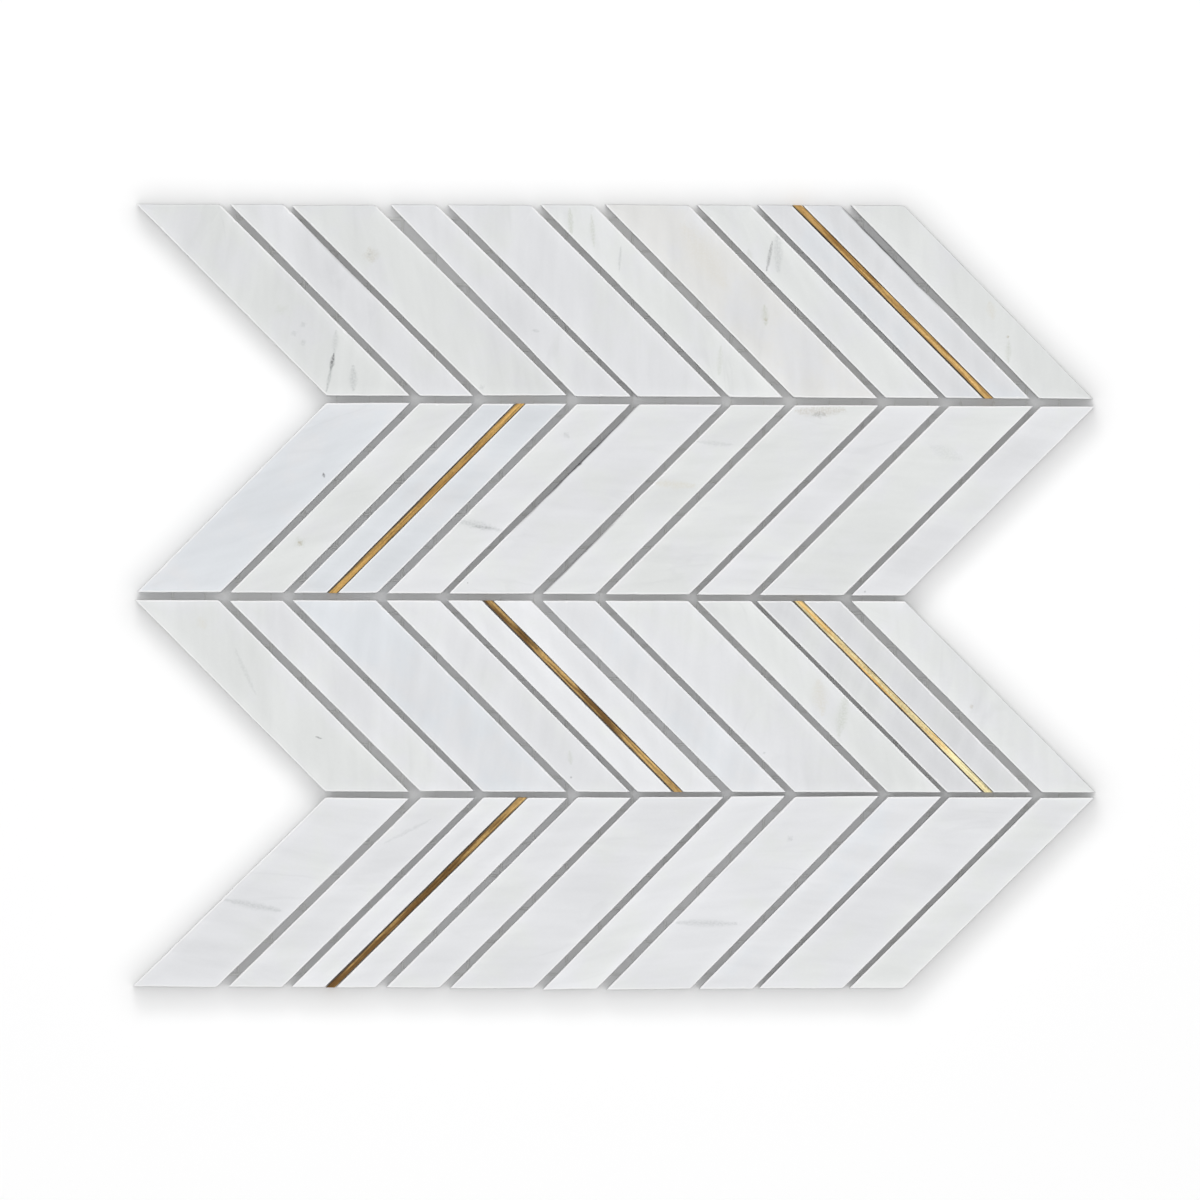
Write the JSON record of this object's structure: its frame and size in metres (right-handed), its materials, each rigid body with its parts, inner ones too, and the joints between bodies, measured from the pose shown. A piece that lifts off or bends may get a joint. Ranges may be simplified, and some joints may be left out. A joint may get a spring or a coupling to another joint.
{
  "type": "chevron wall tile",
  "caption": "Mesh-backed sheet of slanted white marble strips laid in a chevron with open joints, some strips split by a thin brass bar, for cladding a wall.",
  "frame": {"origin": "middle of the sheet's outline, on the underside of the backing mesh", "axes": "+X the way the middle chevron points, along the rows; +Y up the wall, across the rows; +Z out of the polished face"},
  "size_m": [0.308, 0.2513, 0.01],
  "materials": {
    "marble": "polished",
    "brass": "satin",
    "mesh": "matte"
  },
  "bodies": {
    "root": {"row_1_strip_01": "marble", "row_1_strip_02": "marble", "row_1_strip_03": "marble", "row_1_strip_04": "marble", "row_1_strip_05": "marble", "row_1_strip_06": "marble", "row_1_strip_07": "marble", "row_1_strip_08": "marble", "row_1_strip_09_left": "marble", "row_1_brass_09": "brass", "row_1_strip_09_right": "marble", "row_1_strip_10": "marble", "row_2_strip_01": "marble", "row_2_strip_02": "marble", "row_2_strip_03_left": "marble", "row_2_brass_03": "brass", "row_2_strip_03_right": "marble", "row_2_strip_04": "marble", "row_2_strip_05": "marble", "row_2_strip_06": "marble", "row_2_strip_07": "marble", "row_2_strip_08": "marble", "row_2_strip_09": "marble", "row_2_strip_10": "marble", "row_3_strip_01": "marble", "row_3_strip_02": "marble", "row_3_strip_03": "marble", "row_3_strip_04": "marble", "row_3_strip_05_left": "marble", "row_3_brass_05": "brass", "row_3_strip_05_right": "marble", "row_3_strip_06": "marble", "row_3_strip_07": "marble", "row_3_strip_08": "marble", "row_3_strip_09_left": "marble", "row_3_brass_09": "brass", "row_3_strip_09_right": "marble", "row_3_strip_10": "marble", "row_4_strip_01": "marble", "row_4_strip_02": "marble", "row_4_strip_03_left": "marble", "row_4_brass_03": "brass", "row_4_strip_03_right": "marble", "row_4_strip_04": "marble", "row_4_strip_05": "marble", "row_4_strip_06": "marble", "row_4_strip_07": "marble", "row_4_strip_08": "marble", "row_4_strip_09": "marble", "row_4_strip_10": "marble", "backing_mesh_row_1": "mesh", "backing_mesh_row_2": "mesh", "backing_mesh_row_3": "mesh", "backing_mesh_row_4": "mesh"}
  },
  "joints": []
}
